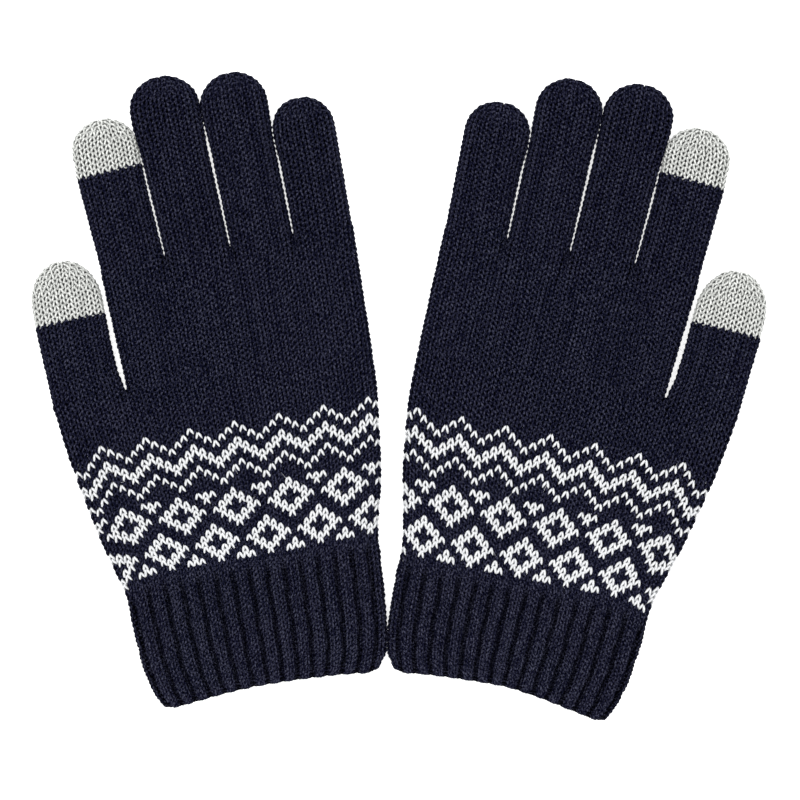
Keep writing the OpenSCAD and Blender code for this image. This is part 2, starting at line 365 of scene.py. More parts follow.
class RingMaker:
    """Makes the rings of a tube that lies flat."""

    around = 480            # points round a ring
    oval_points = 1441      # points of the finer oval that a ring is made from
    handling = Handling()
    hand_half = 30.0        # a ring with more than this half width belongs to the hand
    parting = (0.12, 1.25)  # least and most that a parting ring's height changes by

    def __init__(self, place: Placing) -> None:
        """Prepare the oval's directions, from the middle of the face towards the little finger."""
        self.place = place
        turn = math.pi / 2 - np.linspace(0, TURN, self.oval_points)
        cos, sin = np.cos(turn), np.sin(turn)
        size = (np.abs(cos) ** FULLNESS + np.abs(sin) ** FULLNESS) ** (-1 / FULLNESS)
        self.oval = np.stack([cos * size, sin * size], -1)

    def ring(self, left: float, right: float, half: float, level: float,
             spans: tuple[tuple[float, float], ...] = (), split: float = 0.0,
             ) -> tuple[np.ndarray, float]:
        """One ring of the fabric's middle surface.

        Args:
            left: Outer edge on the thumb's side.
            right: Outer edge on the little finger's side.
            half: Half the thickness.
            level: Level along the hand.
            spans: Edges of the narrower tubes that the ring is about to part into.
            split: How far it has parted, 0 to 1.

        Returns:
            The ring's points and its girth.
        """
        left, right, half = left + INSET, right - INSET, max(half - INSET, 0.05)
        middle, wide = (left + right) / 2, (right - left) / 2
        low = min(half, UNDERSIDE - INSET)
        u = middle + wide * self.oval[:, 0]
        z = np.maximum(half * self.oval[:, 1], -low)
        length = np.concatenate([[0], np.cumsum(np.hypot(np.diff(u), np.diff(z)))])
        even = np.arange(self.around) / self.around * length[-1]
        u, z = np.interp(even, length, u), np.interp(even, length, z)
        if split > 0:
            own = oval_height((u - middle) / wide)
            parted = np.max([oval_height((u - (a + b) / 2) / ((b - a) / 2 - INSET))
                             for a, b in spans], 0)
            change = np.clip(parted / np.maximum(own, 0.05), *self.parting)
            z = z * (1 + split * (change - 1))
        x = u + self.place.sway(level)
        y = level + self.place.edge_pull(u, level)
        y = y + self.handling.along(u, level, (u - middle) / wide, wide > self.hand_half)
        height = UNDERSIDE + z
        uneven = self.handling.height(u, level)
        height = height + uneven * np.clip(height / (2 * HALF), 0, 1) ** 2
        return np.stack([x, y, height], -1), float(length[-1])

    def cloth(self, levels: np.ndarray, rings: list[tuple[np.ndarray, float]],
              **tilt: object) -> Cloth:
        """Put rings together into a cloth."""
        return Cloth(levels, np.stack([r[0] for r in rings]), np.array([r[1] for r in rings]),
                     **tilt)


@dataclass(frozen=True)
class FingerShape:
    """One finger or thumb in plan: its edges at the root and at its widest, and its top."""

    name: str
    root: float             # level where it starts
    left_root: float        # its edges there
    right_root: float
    left_wide: float        # its edges at the widest level
    right_wide: float
    wide_level: float
    rounding: float         # length of its round end
    top: float
    touch: float = 0.0      # level where its touch tip starts, if it has one
    gap: float = 0.22       # clearance to the next finger
    swell: float = 1.1      # the round end takes this much of the clearance up again
    left_part: float = 0.5  # share of the clearance that is on the left
    right_part: float = 0.5
    wale_width: float = 2.68
    even_after: float = 12.0  # the tube has its even width this far past its root
    touch_extra: int = 2    # the touch tip has this many wales more
    last_wales: int = 6     # and the last course at least this many

    def edges(self, level: float) -> tuple[float, float, float]:
        """Outer edges and half thickness at a level.

        Args:
            level: Level along the hand.

        Returns:
            Left edge, right edge, half thickness.
        """
        t = min(max((level - self.root) / (self.wide_level - self.root), -0.2), 1)
        at_root, opening = 0.2, 0.3
        gap = self.gap * (at_root + (1 - at_root) * float(smooth(t / opening)))
        gap -= self.swell * float(smooth((t - 1 + opening) / opening))
        left = self.left_root + t * (self.left_wide - self.left_root) + gap * self.left_part
        right = self.right_root + t * (self.right_wide - self.right_root) - gap * self.right_part
        depth = self.rounding - INSET
        s = min(max((level - (self.top - self.rounding)) / depth, 0), 1)
        plan, thick = math.sqrt(1 - s ** 2), math.sqrt(1 - s ** 4)
        middle, wide = (left + right) / 2, (right - left) / 2 - INSET
        return (middle - wide * plan - INSET, middle + wide * plan + INSET,
                (HALF - INSET) * thick + INSET)

    @property
    def end(self) -> float:
        """Level where the fabric's middle surface closes."""
        return self.top - INSET

    @property
    def tilt(self) -> float:
        """Slope of the courses, square to the finger's own middle line."""
        lean = (self.left_wide + self.right_wide - self.left_root - self.right_root) / 2
        return -lean / (self.wide_level - self.root)


THUMB = FingerShape(
    "thumb", THUMB_ROOT, left_root=-54.2, right_root=-28.9, left_wide=-55.3, right_wide=-30.1,
    wide_level=68, rounding=15, top=89.8, touch=69.6, gap=1.25, swell=0.3, left_part=0.0,
    right_part=1.0, wale_width=2.62)
INDEX = FingerShape(
    "index", FINGER_ROOT, left_root=-30.2, right_root=-8.1, left_wide=-32.8, right_wide=-10.2,
    wide_level=116, rounding=11, top=134.4, touch=116.4, left_part=0.0, right_part=0.25)
MIDDLE = FingerShape(
    "middle", FINGER_ROOT, left_root=-8.1, right_root=14.1, left_wide=-10.8, right_wide=12.3,
    wide_level=130, rounding=11, top=144.6)
RING = FingerShape(
    "ring", FINGER_ROOT, left_root=14.1, right_root=35.6, left_wide=12.8, right_wide=34.9,
    wide_level=130, rounding=11, top=141.8)
LITTLE = FingerShape(
    "little", FINGER_ROOT, left_root=35.6, right_root=55.9, left_wide=35.3, right_wide=56.2,
    wide_level=116, rounding=11, top=129.6, right_part=0.0)
FINGERS = (INDEX, MIDDLE, RING, LITTLE)


@dataclass(frozen=True)
class Stitch:
    """Form of one knitted loop, in millimetres; its neck is a share of the wale's width."""

    height: float = 1.38
    depth: float = 0.42
    neck: float = 0.23
    radius: float = 0.52
    samples: int = 12       # points of the strand in one loop
    float_samples: int = 4  # points where it floats past one wale
    float_depth: float = 0.95
    float_radius: float = 0.8  # share of its radius that a float has
    pinch: float = 0.10     # share of its radius that the strand loses where loops cross
    unevenness: float = 1.0  # how unevenly it is knitted; the next sizes are for 1
    # how far a loop's head lies aside, its legs aside, its head along, and its legs out
    astray: tuple[float, float, float, float] = (0.022, 0.016, 0.07, 0.05)
    thinning: float = 0.03  # unevenness of the strand's radius
    purl_dip: float = 0.6   # a sunk stitch's legs lie lower by this share of its depth
    purl_bump: float = 0.9  # and its head higher by this one


@dataclass(frozen=True)
class Ribbing:
    """Ribs of two raised wales and one sunk wale."""

    period: int = 3         # wales from rib to rib
    valley: float = 2.5 / 3  # place of the sunk wale's middle in its rib
    squeeze: float = 0.12   # how far the raised wales are drawn together
    relief: float = 0.62    # height of the wave across the ribs
    trench: float = 0.85    # how much deeper the sunk wale lies
    trench_shade: float = 0.6  # painted shade: how much darker the yarn in it is painted, as if in the trench's shadow
    start: float = BAND_START + 1.5  # level where the ribs start
    full: float = BAND_START - 4.5  # level where they have their full relief
    hem_ease: float = 0.6   # share of the relief that is lost at the edge
    # size of each sway of the ribs, its turn for each millimetre, and its waves round the cuff
    sways: tuple[tuple[float, float, int], ...] = ((0.30, 0.40, 9), (0.22, 0.95, 23))

    def strength(self, level: float) -> float:
        """How much of the rib's relief there is at a level."""
        edge = 1 - self.hem_ease * smooth(1 + (HEM - level) / 4)
        return float(edge * smooth((self.start - level) / (self.start - self.full)))

    def fold(self, level: float, spread: np.ndarray, wales: int) -> tuple[np.ndarray, np.ndarray]:
        """Lift the raised wales, sink the others and draw them together.

        Args:
            level: Level of the course.
            spread: Share of a turn of each point of flat fabric.
            wales: Wales round the cloth.

        Returns:
            The ribbed fabric's share of a turn and lift at each point.
        """
        strength = self.strength(level)
        ribs = wales / self.period
        turn = TURN * (spread * ribs - self.valley)
        for size, along, waves in self.sways:
            turn = turn + size * np.sin(along * level + waves * TURN * spread)
        cos = np.cos(turn)
        lift = -strength * (self.relief * cos + self.trench * np.maximum(cos, 0) ** 2)
        return spread - self.squeeze * strength * np.sin(turn) / (TURN * ribs), lift


@dataclass(frozen=True)
class Course:
    """One row of knitting round a cloth."""

    level: float
    wales: int
    phase: float = 0.0      # share of a turn that its first wale lies round the cloth
    lift: float = 0.0       # height over the fabric's middle
    roll: float = 0.0       # how far it has rolled in, in radians
    shrink: float = 1.0     # height of its loops, as a share of a loop's full height


@dataclass(frozen=True)
class Fibre:
    """A loose fibre that stands out of the yarn, drawn at random between these sizes."""

    length: tuple[float, float] = (0.9, 2.4)
    upright: tuple[float, float] = (0.15, 0.9)  # how much of its aim is straight out of the yarn
    stray: float = 0.7      # how far its aim strays from there
    curl: float = 0.8       # how far it turns on its way
    bow: float = 0.45       # and how much of that turn shows
    root: float = 0.25      # height of its root over the strand's middle
    radii: tuple[tuple[float, float], ...] = (
        (0.0, 0.03), (0.35, 0.034), (0.7, 0.028), (1.0, 0.006))  # share of its length, radius
    shade: float = 1.25     # painted highlight: fibres are painted lighter than their yarn, as if catching the light
    rises_below: float = 3.0  # fibres this near the floor turn up
    bake_spot: float = 0.02  # size of a fibre on the second map


@dataclass
class YarnMesh:
    """Collects strands and inner backings painted dark as shade, and makes one mesh of them."""

    name: str
    place: Placing
    flank_shade: float = 0.0      # painted shade: how much darker a strand's flanks are painted than its top
    sides: int = 6
    points: list[np.ndarray] = field(default_factory=list)
    faces: list[np.ndarray] = field(default_factory=list)
    strand_map: list[np.ndarray] = field(default_factory=list)
    bake_map: list[np.ndarray] = field(default_factory=list)
    shades: list[np.ndarray] = field(default_factory=list)
    surface: list[np.ndarray] = field(default_factory=list)
    count: int = 0

    def _grid(self, grid: np.ndarray, lengths: np.ndarray, girth: float,
              shade: np.ndarray | float = 1.0) -> None:
        """Add a closed grid of points that joins up in both directions.

        Args:
            grid: Points of shape (along, around, 3).
            lengths: Distance run at each place along, with one more for the way back.
            girth: Distance round, used by the strand's own map.
            shade: Painted shade at each place along, a factor on the yarn's colour.
        """
        n, m = grid.shape[:2]
        self.shades.append(np.broadcast_to(shade, (n, m)).ravel())
        i, j = np.meshgrid(np.arange(n), np.arange(m), indexing="ij")
        i2, j2 = (i + 1) % n, (j + 1) % m
        faces = np.stack([i * m + j, i2 * m + j, i2 * m + j2, i * m + j2], -1).reshape(-1, 4)
        self.points.append(grid.reshape(-1, 3))
        self.faces.append(faces + self.count)
        self.count += n * m
        a, b = lengths[i], lengths[i + 1]
        c, d = j / m, (j + 1) / m
        strand = np.stack([np.stack([a, c * girth], -1), np.stack([b, c * girth], -1),
                           np.stack([b, d * girth], -1), np.stack([a, d * girth], -1)], 2)
        self.strand_map.append(strand.reshape(-1, 2))
        a, b = a / lengths[-1], b / lengths[-1]
        bake = np.stack([np.stack([a, c], -1), np.stack([b, c], -1),
                         np.stack([b, d], -1), np.stack([a, d], -1)], 2)
        self.bake_map.append(bake.reshape(-1, 2))

    def strand(self, path: np.ndarray, ups: np.ndarray, radii: np.ndarray,
               shade: np.ndarray | float = 1.0) -> None:
        """Add one closed strand of yarn.

        Args:
            path: Points of the strand's middle line, in the glove's frame.
            ups: Outward direction at each point.
            radii: Radius at each point.
            shade: Painted shade at each point, a factor on the yarn's colour.
        """
        self.surface.append(np.stack([path, ups], 1))
        run = np.roll(path, -1, 0) - np.roll(path, 1, 0)
        run /= np.linalg.norm(run, axis=-1, keepdims=True) + 1e-9
        across = np.cross(run, ups)
        across /= np.linalg.norm(across, axis=-1, keepdims=True) + 1e-9
        up = np.cross(across, run)
        angle = TURN * (np.arange(self.sides) + 0.5) / self.sides - math.pi / 2
        spin = (across[:, None] * np.cos(angle)[None, :, None]
                + up[:, None] * np.sin(angle)[None, :, None])
        grid = path[:, None] + radii[:, None, None] * spin
        steps = np.linalg.norm(np.roll(path, -1, 0) - path, axis=-1)
        # painted shade: each strand is painted darker away from its upper side, as if its flanks
        # lay in shade
        lit = np.clip(np.sin(angle) / np.sin(angle).max(), 0, 1)
        tone = np.broadcast_to(shade, len(path))[:, None] * (1 - self.flank_shade * (1 - lit))
        self._grid(grid, np.concatenate([[0], np.cumsum(steps)]), STRAND_GIRTH, tone)

    def fuzz(self, count: int, seed: int, fibre: Fibre = Fibre()) -> None:
        """Let loose fibres stand out of the yarn.

        Args:
            count: How many.
            seed: Fixes their places and bends.
            fibre: Their sizes.
        """
        random = np.random.default_rng(seed)
        surface = np.concatenate(self.surface)
        roots = surface[random.integers(0, len(surface), count)]
        start, up = roots[:, 0], roots[:, 1]
        aim = up * random.uniform(*fibre.upright, (count, 1))
        aim = aim + random.normal(0, fibre.stray, (count, 3))
        aim /= np.linalg.norm(aim, axis=1, keepdims=True)
        turn = random.normal(0, fibre.curl, (count, 3))
        length = random.uniform(*fibre.length, (count, 1))
        low = start[:, 2] < fibre.rises_below
        aim[low, 2], turn[low, 2] = np.abs(aim[low, 2]), np.abs(turn[low, 2])
        side = np.cross(aim, turn)
        side /= np.linalg.norm(side, axis=1, keepdims=True) + 1e-9
        other = np.cross(aim, side)
        rings = []
        for step, thick in fibre.radii:
            middle = start + up * fibre.root + length * (aim * step + fibre.bow * turn * step ** 2)
            rings.append(np.stack([middle + thick * (side * math.cos(a) + other * math.sin(a))
                                   for a in (0.0, TURN / 3, 2 * TURN / 3)], 1))
        grid = np.stack(rings, 1).reshape(-1, 3)
        quads = np.array([[3 * i + j, 3 * i + 3 + j, 3 * i + 3 + (j + 1) % 3, 3 * i + (j + 1) % 3]
                          for i in range(len(rings) - 1) for j in range(3)])
        each = 3 * len(rings) * np.arange(count)
        faces = (quads[None] + each[:, None, None]).reshape(-1, 4)
        self.points.append(grid)
        self.faces.append(faces + self.count)
        self.count += len(grid)
        # painted highlight: loose fibres are painted lighter than their yarn
        self.shades.append(np.full(len(grid), fibre.shade))
        spots = np.repeat(random.uniform(0, 300, (count, 1, 2)), 4 * len(quads), 1)
        self.strand_map.append(spots.reshape(-1, 2))
        corner = np.tile([[0.0, 0.0], [0.0, 0.9], [1.0, 0.9], [1.0, 0.0]], (len(faces), 1))
        place = np.repeat(random.uniform(0, 0.95, (len(faces), 1, 2)), 4, 1).reshape(-1, 2)
        self.bake_map.append(corner * fibre.bake_spot + place)

    def shaded_backing(self, cloth: Cloth, start: float, end: float, depth: float, closed: bool = False,
               ribbing: "Ribbing | None" = None, shade: float = 0.06, thick: float = 0.4,
               step: float = 1.2, across: int = 168, most: float = 0.12,
               at_side: float = 0.4) -> None:
        """Add the thin inner sheet that closes the view through the stitches, painted dark as
        shade.

        Args:
            cloth: The fabric it lies in.
            start: First level.
            end: Last level.
            depth: How far inside the fabric's middle it lies.
            closed: True where the tube ends in a closed tip.
            ribbing: The ribs that the fabric has.
            shade: Its painted shade, a factor on the yarn's colour; low values paint it dark as if
                in shadow.
            thick: Its own thickness.
            step: Distance between its rings.
            across: Points round each ring.
            most: Most that it sinks, as a share of the cloth's girth.
            at_side: Share of its depth that it has where the fabric turns under.
        """
        levels = np.linspace(start, end, max(4, int((end - start) / step)))
        shares = np.arange(across) / across
        rings: list[np.ndarray] = []
        for sink, order in ((depth, levels), (depth + thick, levels[::-1])):
            for level in order:
                spread, lift = ribbing.fold(level, shares, CUFF_WALES) if ribbing else (shares, 0)
                point, out, _ = cloth.at(np.full(across, level), spread)
                flat = at_side + (1 - at_side) * np.abs(out[:, 2])
                down = min(sink, most * cloth.girth(level)) * flat - lift
                rings.append(point - out * np.reshape(down, (-1, 1)))
            if closed and order is levels:
                middle = rings[-1].mean(0)
                rings.append(middle + 0.1 * (rings[-1] - middle))
        grid = np.stack(rings)
        lengths = np.arange(len(rings) + 1) * step
        self._grid(grid, lengths, cloth.girth(start), shade)

    def build(self, finish: "YarnFinish") -> bpy.types.Object:
        """Make the object.

        Args:
            finish: The yarn's finish.

        Returns:
            The new mesh object, linked to the scene.
        """
        faces = np.concatenate(self.faces)
        strand = np.concatenate(self.strand_map)
        rows = len(self.bake_map)
        bake = np.concatenate([
            np.stack([part[:, 0],
                      (row + BAKE_MARGIN + (1 - 2 * BAKE_MARGIN) * part[:, 1]) / rows], -1)
            for row, part in enumerate(self.bake_map)])
        if self.place.mirrored:
            faces = faces[:, ::-1]
            strand = strand.reshape(-1, 4, 2)[:, ::-1].reshape(-1, 2)
            bake = bake.reshape(-1, 4, 2)[:, ::-1].reshape(-1, 2)
        points = self.place.world(np.concatenate(self.points))
        mesh = bpy.data.meshes.new(self.name)
        mesh.vertices.add(len(points))
        mesh.vertices.foreach_set("co", points.astype(np.float32).ravel())
        mesh.loops.add(faces.size)
        mesh.loops.foreach_set("vertex_index", faces.astype(np.int32).ravel())
        mesh.polygons.add(len(faces))
        mesh.polygons.foreach_set("loop_start", np.arange(0, faces.size, 4, dtype=np.int32))
        mesh.update(calc_edges=True)
        for name, data in (("Strand", strand), ("OFBake", bake)):
            layer = mesh.uv_layers.new(name=name)
            layer.uv.foreach_set("vector", data.astype(np.float32).ravel())
        # painted shade and highlight: a factor per point that the material multiplies the yarn's
        # colour by
        tone = mesh.attributes.new("Shade", "FLOAT", "POINT")
        tone.data.foreach_set("value", np.concatenate(self.shades).astype(np.float32))
        mesh.shade_smooth()
        mesh.materials.append(finish.material())
        thing = bpy.data.objects.new(self.name, mesh)
        bpy.context.scene.collection.objects.link(thing)
        return thing


class Knitter:
    """Knits courses of yarn on a cloth."""

    def __init__(self, stitch: Stitch, seed: int) -> None:
        """Take up a stitch; the seed fixes its small unevenness."""
        self.stitch = stitch
        self.random = np.random.default_rng(seed)

    def course(self, mesh: YarnMesh, cloth: Cloth, row: Course,
               held: np.ndarray | None = None, ribbing: Ribbing | None = None) -> None:
        """Knit one course.

        Args:
            mesh: Takes the strand.
            cloth: The fabric's middle surface.
            row: Which course it is.
            held: True for each wale that this yarn knits; elsewhere it floats inside.
            ribbing: The ribs that the course is part of.
        """
        form = self.stitch
        knits = np.ones(row.wales, bool) if held is None else held
        counts = np.where(knits, form.samples, form.float_samples)
        wale = np.repeat(np.arange(row.wales), counts)
        tau = np.concatenate([-math.pi + TURN * np.arange(c) / c for c in counts])
        knit = knits[wale]
        head = (1 + np.cos(tau)) / 2
        sway = self.random.normal(0, 1, (4, row.wales))[:, wale] * form.unevenness
        top_aside, legs_aside, top_along, legs_out = form.astray
        x = tau / TURN + np.where(knit, form.neck * np.sin(2 * tau), 0)
        x = x + top_aside * sway[0] * head + legs_aside * sway[1] * np.sin(tau)
        height = form.height * row.shrink
        y = np.where(knit, -height * np.cos(tau), height) + top_along * sway[2] * head
        z = np.where(knit, -form.depth * np.cos(2 * tau), -form.depth - form.float_depth * head)
        z = z + legs_out * sway[3] * np.sin(tau) ** 2
        radius = form.radius * np.where(knit, 1 - form.pinch * np.cos(2 * tau),
                                        form.float_radius)
        radius = radius * (1 + form.thinning * sway[1])
        spread = (wale + 0.5 + x) / row.wales
        lift = np.zeros_like(spread)
        shade = np.ones_like(spread)
        if ribbing:
            purl = (wale % ribbing.period == ribbing.period - 1) & knit
            back = -form.depth * (1 + form.purl_dip * np.sin(tau) ** 2)
            back = back + form.purl_bump * form.depth * head ** 2
            z = np.where(purl, z + ribbing.strength(row.level) * (back - z), z)
            spread, lift = ribbing.fold(row.level, spread, row.wales)
            # painted shade: yarn sunk in a rib's trench is painted darker, as if in shadow
            deepest = ribbing.relief + ribbing.trench
            shade = 1 - ribbing.trench_shade * np.clip(-lift / deepest, 0, 1)
        z = z + lift
        cos, sin = math.cos(row.roll), math.sin(row.roll)
        rise = row.lift + z * cos + y * sin
        ahead = y * cos - z * sin
        point, out, along = cloth.at(row.level + ahead, spread + row.phase)
        ups = out * cos - along * sin
        mesh.strand(point + out * rise[:, None], ups, radius, shade)

    def thread(self, mesh: YarnMesh, cloth: Cloth, level: float, sink: float, radius: float,
               samples: int = 360, waves: int = 28, swing: float = 0.08) -> None:
        """Lay one plain thread round the inside of a cloth.

        Args:
            mesh: Takes the strand.
            cloth: The fabric's middle surface.
            level: Level of the thread.
            sink: How far inside the fabric it lies.
            radius: Its radius.
            samples: Points round it.
            waves: How often it waves on its way round.
            swing: How far it waves.
        """
        shares = np.arange(samples) / samples
        point, out, _ = cloth.at(np.full(samples, level), shares)
        wave = swing * np.sin(TURN * waves * shares)
        mesh.strand(point - out * (sink + wave)[:, None], out, np.full(samples, radius))


@dataclass(frozen=True)
class Motif:
    """A figure that repeats round the band: for each distance from its middle, its rows."""

    period: int
    phases: tuple[int, int]
    rows: tuple[tuple[int, ...], ...]

    def covers(self, row: int, wale: int, side: Side) -> bool:
        """True if the figure's yarn is knitted at this row and wale of a face."""
        phase = self.phases[side is Side.RIGHT]
        distance = abs((wale - phase + self.period // 2) % self.period - self.period // 2)
        return distance < len(self.rows) and row in self.rows[distance]


@dataclass(frozen=True)
class PatternChart:
    """The knitting chart of the band: zigzags over two rows of diamonds."""

    rows: int = 25
    motifs: tuple[Motif, ...] = (
        Motif(6, (1, 1), ((0,), (1,), (2,), (3,))),
        Motif(6, (1, 1), ((3, 4), (4, 5), (5, 6), (6, 7))),
        Motif(6, (1, 1), ((7,), (8,), (9,), (10,))),
        Motif(8, (3, 1), ((12, 13), (12,))),
        Motif(8, (-1, -3), ((12, 13, 17, 18), (13, 14, 16, 17), (14, 15, 16), (15,))),
        Motif(8, (3, 1), ((18, 19, 23, 24), (19, 20, 22, 23), (20, 21, 22), (21,))),
        Motif(8, (-1, -3), ((23, 24), (24,))),
    )

    def course(self, row: int, side: Side) -> np.ndarray:
        """Which wales of a course are knitted in the contrast yarn.

        Args:
            row: Course number, 0 at the fingers' end.
            side: The glove's hand.

        Returns:
            One truth value for each wale round the hand.
        """
        half = HAND_WALES // 4
        picks = []
        for wale in range(HAND_WALES):
            place = wale if wale < half else wale - HAND_WALES
            if half <= wale < 3 * half:
                place = 2 * half - 1 - wale
            picks.append(any(m.covers(row, place, side) for m in self.motifs))
        return np.array(picks)


class Nodes:
    """Short ways to add and join a material's nodes."""

    def __init__(self, name: str) -> None:
        """Start a material that holds only a surface shader and its output."""
        self.material = bpy.data.materials.new(name)
        self.material.use_nodes = True
        self.tree = self.material.node_tree
        self.tree.nodes.clear()
        self.shader = self.add("ShaderNodeBsdfPrincipled")
        output = self.add("ShaderNodeOutputMaterial")
        self.join(self.shader.outputs[0], output.inputs["Surface"])

    def add(self, kind: str, **settings: object) -> bpy.types.Node:
        """Add a node and set its properties."""
        node = self.tree.nodes.new(kind)
        for key, value in settings.items():
            setattr(node, key, value)
        return node

    def join(self, source: bpy.types.NodeSocket, target: bpy.types.NodeSocket) -> None:
        """Link two sockets."""
        self.tree.links.new(source, target)

    def fill(self, node: bpy.types.Node, values: tuple[object, ...]) -> bpy.types.NodeSocket:
        """Give a node its inputs, each a socket or a number, and return its first output."""
        for socket, value in zip(node.inputs, values):
            if isinstance(value, (int, float)):
                socket.default_value = value
            else:
                self.join(value, socket)
        return node.outputs[0]

    def math(self, operation: str, *values: object) -> bpy.types.NodeSocket:
        """Add a maths node whose inputs are sockets or numbers."""
        return self.fill(self.add("ShaderNodeMath", operation=operation), values)

    def vector(self, *values: object) -> bpy.types.NodeSocket:
        """Make a vector of three sockets or numbers."""
        return self.fill(self.add("ShaderNodeCombineXYZ"), values)

    def noise(self, vector: bpy.types.NodeSocket, scale: float, detail: float = 2.0,
              rough: float = 0.5) -> bpy.types.NodeSocket:
        """Add a noise pattern."""
        node = self.add("ShaderNodeTexNoise")
        node.inputs["Scale"].default_value = scale
        node.inputs["Detail"].default_value = detail
        node.inputs["Roughness"].default_value = rough
        self.join(vector, node.inputs["Vector"])
        return node.outputs[0]

    def ramp(self, source: bpy.types.NodeSocket,
             stops: tuple[tuple[float, tuple[float, float, float]], ...]) -> bpy.types.NodeSocket:
        """Add a colour ramp.

        Args:
            source: Its factor.
            stops: Place and colour of each of its stops.

        Returns:
            The colour.
        """
        node = self.add("ShaderNodeValToRGB")
        ramp = node.color_ramp
        while len(ramp.elements) < len(stops):
            ramp.elements.new(0.5)
        for element, (place, colour) in zip(ramp.elements, stops):
            element.position = place
            element.color = (*colour, 1)
        self.join(source, node.inputs[0])
        return node.outputs[0]


@dataclass(frozen=True)
class YarnFinish:
    """Spun yarn: a twisted strand of fibres, heathered along its length."""

    name: str
    dark: tuple[float, float, float]
    main: tuple[float, float, float]
    light: tuple[float, float, float]
    sheen: float = 0.3
    roughness: float = 0.88
    shine: float = 0.25
    bump: float = 0.6
    bump_height: float = 0.00012
    ply: float = 1.35       # length of one turn of the twist, in millimetres
    slant: float = 0.9      # how far the fibres lean with the twist
    fibre_scale: float = 4.5
    fibre_relief: float = 1.6
    streak_scale: float = 2.8  # of the heather's light and dark streaks
    streak_stretch: tuple[float, float] = (0.55, 2.2)  # along the strand and round it
    patch_scale: float = 1700.0  # of its patches, for each metre
    patch_share: float = 0.45
    stops: tuple[float, float, float] = (0.39, 0.50, 0.62)  # of the dark, main and light tones

    def material(self) -> bpy.types.Material:
        """The yarn's material, made once."""
        made = bpy.data.materials.get(self.name)
        if made:
            return made
        n = Nodes(self.name)
        strand = n.add("ShaderNodeUVMap", uv_map="Strand")
        parts = n.add("ShaderNodeSeparateXYZ")
        n.join(strand.outputs[0], parts.inputs[0])
        run, turn = parts.outputs[0], parts.outputs[1]
        place = n.add("ShaderNodeTexCoord").outputs["Object"]
        twist = n.math("MULTIPLY_ADD", run, TURN / self.ply,
                       n.math("MULTIPLY", turn, TURN * 2 / STRAND_GIRTH))
        ply = n.math("SINE", twist)
        fibre_place = n.vector(n.math("MULTIPLY", run, self.slant),
                               n.math("MULTIPLY_ADD", run, self.slant, turn), 0)
        fibre = n.noise(fibre_place, self.fibre_scale, 3.0, 0.6)
        along, around = self.streak_stretch
        streak_along = n.math("MULTIPLY", run, along)
        streak_around = n.math("MULTIPLY_ADD", run, self.slant, n.math("MULTIPLY", turn, around))
        streak = n.noise(n.vector(streak_along, streak_around, 3), self.streak_scale, 2.0, 0.6)
        patch = n.noise(place, self.patch_scale, 2.0, 0.6)
        mixed = n.math("MULTIPLY_ADD", patch, self.patch_share,
                       n.math("MULTIPLY", streak, 1 - self.patch_share))
        tone = n.math("MULTIPLY_ADD", ply, 0.035, mixed)
        colour = n.ramp(tone, tuple(zip(self.stops, (self.dark, self.main, self.light))))
        # painted shade: the yarn's colour is scaled by the Shade attribute, darker on flanks, in
        # rib trenches and on inner backings, lighter on loose fibres
        painted_shading = n.add("ShaderNodeVectorMath", operation="SCALE")
        n.join(colour, painted_shading.inputs[0])
        n.join(n.add("ShaderNodeAttribute", attribute_name="Shade").outputs["Fac"],
               painted_shading.inputs["Scale"])
        n.join(painted_shading.outputs[0], n.shader.inputs["Base Color"])
        height = n.math("MULTIPLY_ADD", ply, 0.5, n.math("MULTIPLY", fibre, self.fibre_relief))
        bump = n.add("ShaderNodeBump")
        bump.inputs["Strength"].default_value = self.bump
        bump.inputs["Distance"].default_value = self.bump_height
        n.join(height, bump.inputs["Height"])
        n.join(bump.outputs[0], n.shader.inputs["Normal"])
        spread = 0.12
        rough = n.math("MULTIPLY_ADD", fibre, spread, self.roughness - spread / 2)
        n.join(rough, n.shader.inputs["Roughness"])
        n.shader.inputs["Sheen Weight"].default_value = self.sheen
        n.shader.inputs["Sheen Roughness"].default_value = 0.45
        n.shader.inputs["Sheen Tint"].default_value = (1, 1, 1, 1)
        n.shader.inputs["Specular IOR Level"].default_value = self.shine
        return n.material


HAND_YARN = YarnFinish("hand_yarn_navy", (0.0002, 0.0004, 0.0042), (0.0040, 0.0046, 0.0148),
                       (0.050, 0.052, 0.082), sheen=0.0, shine=0.01)
RIB_YARN = YarnFinish("rib_yarn_navy", (0.0002, 0.0004, 0.0042), (0.0048, 0.0054, 0.0158),
                      (0.058, 0.060, 0.092), sheen=0.0, shine=0.01)
WHITE_YARN = YarnFinish("contrast_yarn_white", (0.54, 0.55, 0.57), (0.68, 0.69, 0.705),
                        (0.78, 0.785, 0.79), sheen=0.08)
TOUCH_YARN = YarnFinish("touch_yarn_grey", (0.30, 0.31, 0.295), (0.53, 0.54, 0.52),
                        (0.86, 0.87, 0.84), sheen=0.08)
RUBBER = YarnFinish("elastic_thread", (0.02, 0.02, 0.024), (0.035, 0.035, 0.04),
                    (0.06, 0.06, 0.065), sheen=0.0, roughness=0.6, bump=0.3)


